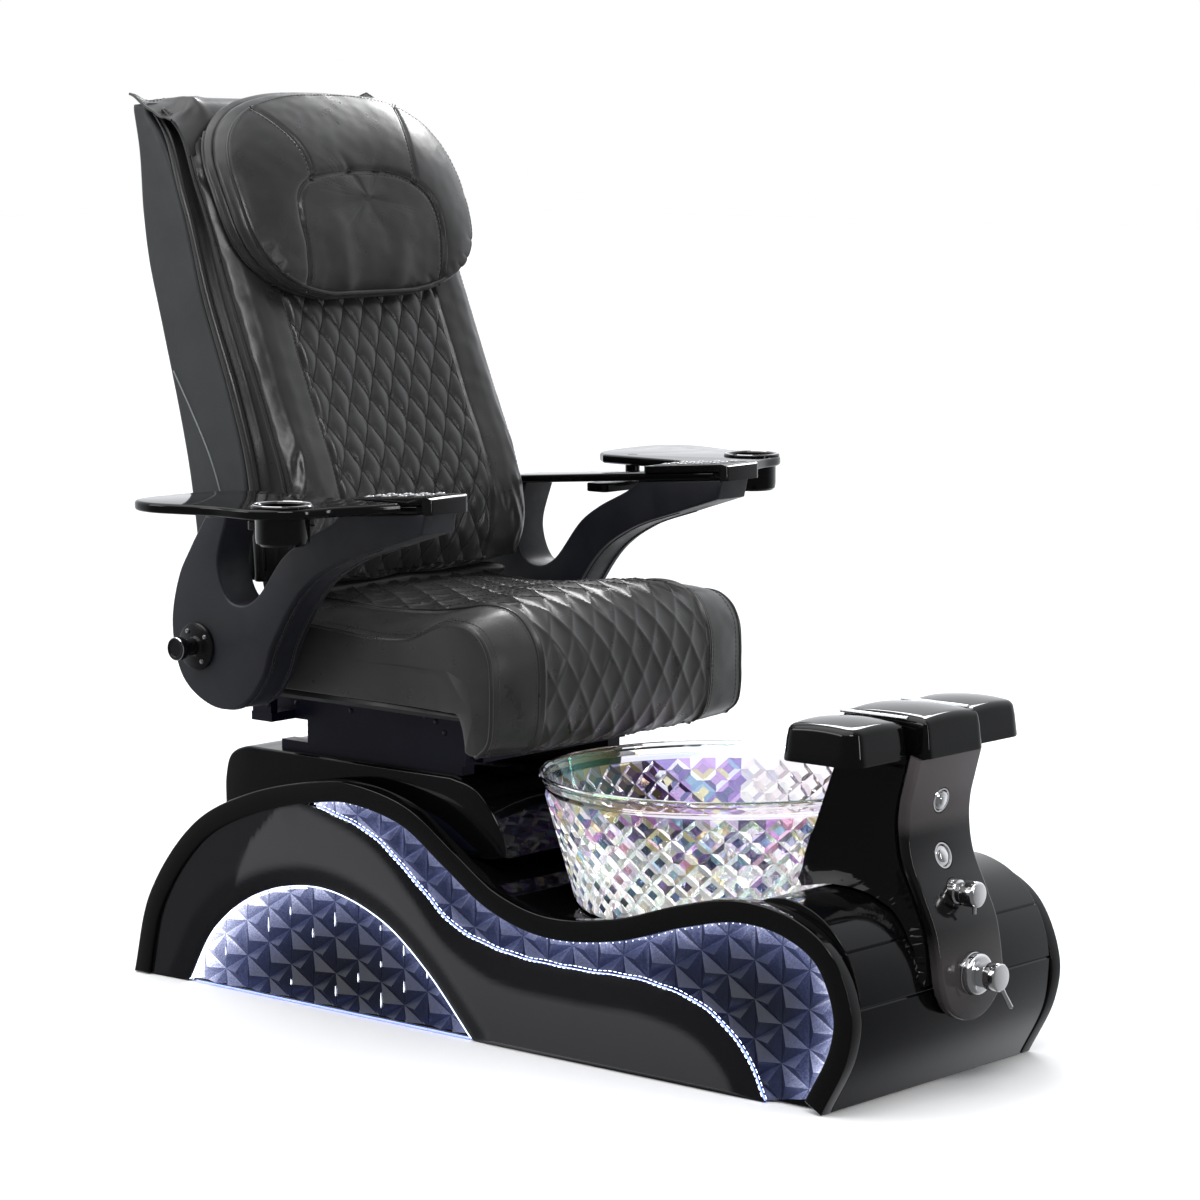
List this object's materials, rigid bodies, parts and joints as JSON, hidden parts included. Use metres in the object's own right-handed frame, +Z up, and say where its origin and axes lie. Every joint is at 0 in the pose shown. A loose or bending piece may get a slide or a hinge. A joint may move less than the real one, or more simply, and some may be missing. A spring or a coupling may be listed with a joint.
{
  "type": "pedicure spa chair",
  "caption": "Massage recliner on a moulded base with a glass foot bowl, control column with footrest, lift-up arms and swing-out trays.",
  "frame": {"origin": "on the floor, under the middle of the base's length and width", "axes": "+X towards the footrest, +Y to the sitter's left, +Z up"},
  "size_m": [1.5464, 1.254, 1.424],
  "materials": {
    "gloss_black": "gloss",
    "satin_black": "satin",
    "texture_grey": "satin",
    "led": "satin",
    "glass": "polished",
    "chrome": "polished",
    "steel": "satin",
    "frame_navy": "satin",
    "rubber": "matte",
    "leather": "satin",
    "arm_leather": "matte",
    "shell_grey": "matte",
    "board": "matte",
    "console": "satin"
  },
  "bodies": {
    "base": {"floor_pan": "satin_black", "base_shell": "gloss_black", "side_rim_right": "gloss_black", "side_rim_left": "gloss_black", "wave_panel_right": "satin_black", "wave_panel_left": "satin_black", "upper_panel_right": "texture_grey", "upper_panel_left": "texture_grey", "arch_panel_right": "texture_grey", "arch_panel_left": "texture_grey", "light_strip_right": "led", "light_strip_left": "led", "seat_plinth": "gloss_black", "slide_rail_right": "steel", "slide_rail_left": "steel", "slide_tube": "steel", "bowl": "glass", "drain_fitting": "chrome", "drain_hose": "rubber", "drain_pump": "satin_black", "pedestal_column": "gloss_black", "control_strip": "gloss_black", "footrest_center": "gloss_black", "footrest_pin_right": "steel", "footrest_pin_left": "steel", "mixer_collar": "chrome"},
    "seat": {"seat_frame": "frame_navy", "seat_board": "board", "seat_cushion": "leather", "pivot_shaft": "steel", "slide_rod": "chrome", "recline_tube": "steel"},
    "back": {"back_shell": "shell_grey", "back_frame": "frame_navy", "back_cushion": "leather", "back_flap": "leather"},
    "pillow": {"head_pillow": "leather"},
    "massage_unit": {"massage_carriage": "steel"},
    "rollers": {"massage_rollers": "rubber"},
    "recline_piston": {"recline_rod": "chrome"},
    "arm_right": {"arm_body_right": "arm_leather", "arm_board_right": "gloss_black", "console_right": "console", "pivot_hub_right": "satin_black", "tray_pivot_right": "satin_black"},
    "tray_right": {"tray_right": "gloss_black", "cup_holder_right": "gloss_black"},
    "footrest_pad_right": {"footrest_pad_right": "gloss_black"},
    "arm_left": {"arm_body_left": "arm_leather", "arm_board_left": "gloss_black", "console_left": "console", "pivot_hub_left": "satin_black", "tray_pivot_left": "satin_black"},
    "tray_left": {"tray_left": "gloss_black", "cup_holder_left": "gloss_black"},
    "footrest_pad_left": {"footrest_pad_left": "gloss_black"},
    "flush_button": {"flush_button": "chrome"},
    "light_button": {"light_button": "chrome"},
    "diverter_knob": {"diverter_knob": "chrome"},
    "mixer_handle": {"mixer_handle": "chrome"}
  },
  "joints": [
    {"name": "seat_slide", "type": "slide", "parent": "base", "child": "seat", "axis": [1, 0, 0], "range_m": [-0.06, 0.06]},
    {"name": "backrest_recline", "type": "hinge", "parent": "seat", "child": "back", "pos_m": [-0.448, 0, 0.574], "axis": [0, -1, 0], "range_deg": [-8, 30]},
    {"name": "recline_rod_slide", "type": "slide", "parent": "seat", "child": "recline_piston", "axis": [1, 0, 0], "range_m": [-0.015, 0.054]},
    {"name": "pillow_flip", "type": "hinge", "parent": "back", "child": "pillow", "pos_m": [-0.59, 0, 1.405], "axis": [0, -1, 0], "range_deg": [0, 100]},
    {"name": "massage_travel", "type": "slide", "parent": "back", "child": "massage_unit", "axis": [-0.2791, 0, 0.9603], "range_m": [0, 0.3]},
    {"name": "roller_turn", "type": "hinge", "parent": "massage_unit", "child": "rollers", "pos_m": [-0.50258, 0, 0.84906], "axis": [0, 1, 0], "continuous": true},
    {"name": "arm_lift_right", "type": "hinge", "parent": "seat", "child": "arm_right", "pos_m": [-0.448, -0.34, 0.574], "axis": [0, -1, 0], "range_deg": [0, 75]},
    {"name": "tray_swing_right", "type": "hinge", "parent": "arm_right", "child": "tray_right", "pos_m": [-0.25, -0.425, 0.8195], "axis": [0, 0, -1], "range_deg": [0, 90]},
    {"name": "footrest_flip_right", "type": "hinge", "parent": "base", "child": "footrest_pad_right", "pos_m": [0.63, -0.0728, 0.5425], "axis": [-1, 0, 0], "range_deg": [0, 90]},
    {"name": "arm_lift_left", "type": "hinge", "parent": "seat", "child": "arm_left", "pos_m": [-0.448, 0.34, 0.574], "axis": [0, -1, 0], "range_deg": [0, 75]},
    {"name": "tray_swing_left", "type": "hinge", "parent": "arm_left", "child": "tray_left", "pos_m": [-0.25, 0.425, 0.8195], "axis": [0, 0, 1], "range_deg": [0, 90]},
    {"name": "footrest_flip_left", "type": "hinge", "parent": "base", "child": "footrest_pad_left", "pos_m": [0.63, 0.0728, 0.5425], "axis": [1, 0, 0], "range_deg": [0, 90]},
    {"name": "flush_button_press", "type": "slide", "parent": "base", "child": "flush_button", "axis": [-0.9822, 0, 0.188], "range_m": [0, 0.003], "stiffness_N_per_m": 400, "springref_m": -0.002},
    {"name": "light_button_press", "type": "slide", "parent": "base", "child": "light_button", "axis": [-0.9537, 0, -0.3009], "range_m": [0, 0.003], "stiffness_N_per_m": 400, "springref_m": -0.002},
    {"name": "diverter_turn", "type": "hinge", "parent": "base", "child": "diverter_knob", "pos_m": [0.724, 0, 0.287], "axis": [1, 0, 0], "range_deg": [-45, 45]},
    {"name": "mixer_turn", "type": "hinge", "parent": "base", "child": "mixer_handle", "pos_m": [0.75618, 0, 0.17264], "axis": [1, 0, 0], "range_deg": [-60, 60]}
  ],
  "couplings": [
    {"joint": "recline_rod_slide", "follows": "backrest_recline", "m_per_rad": 0.1}
  ]
}
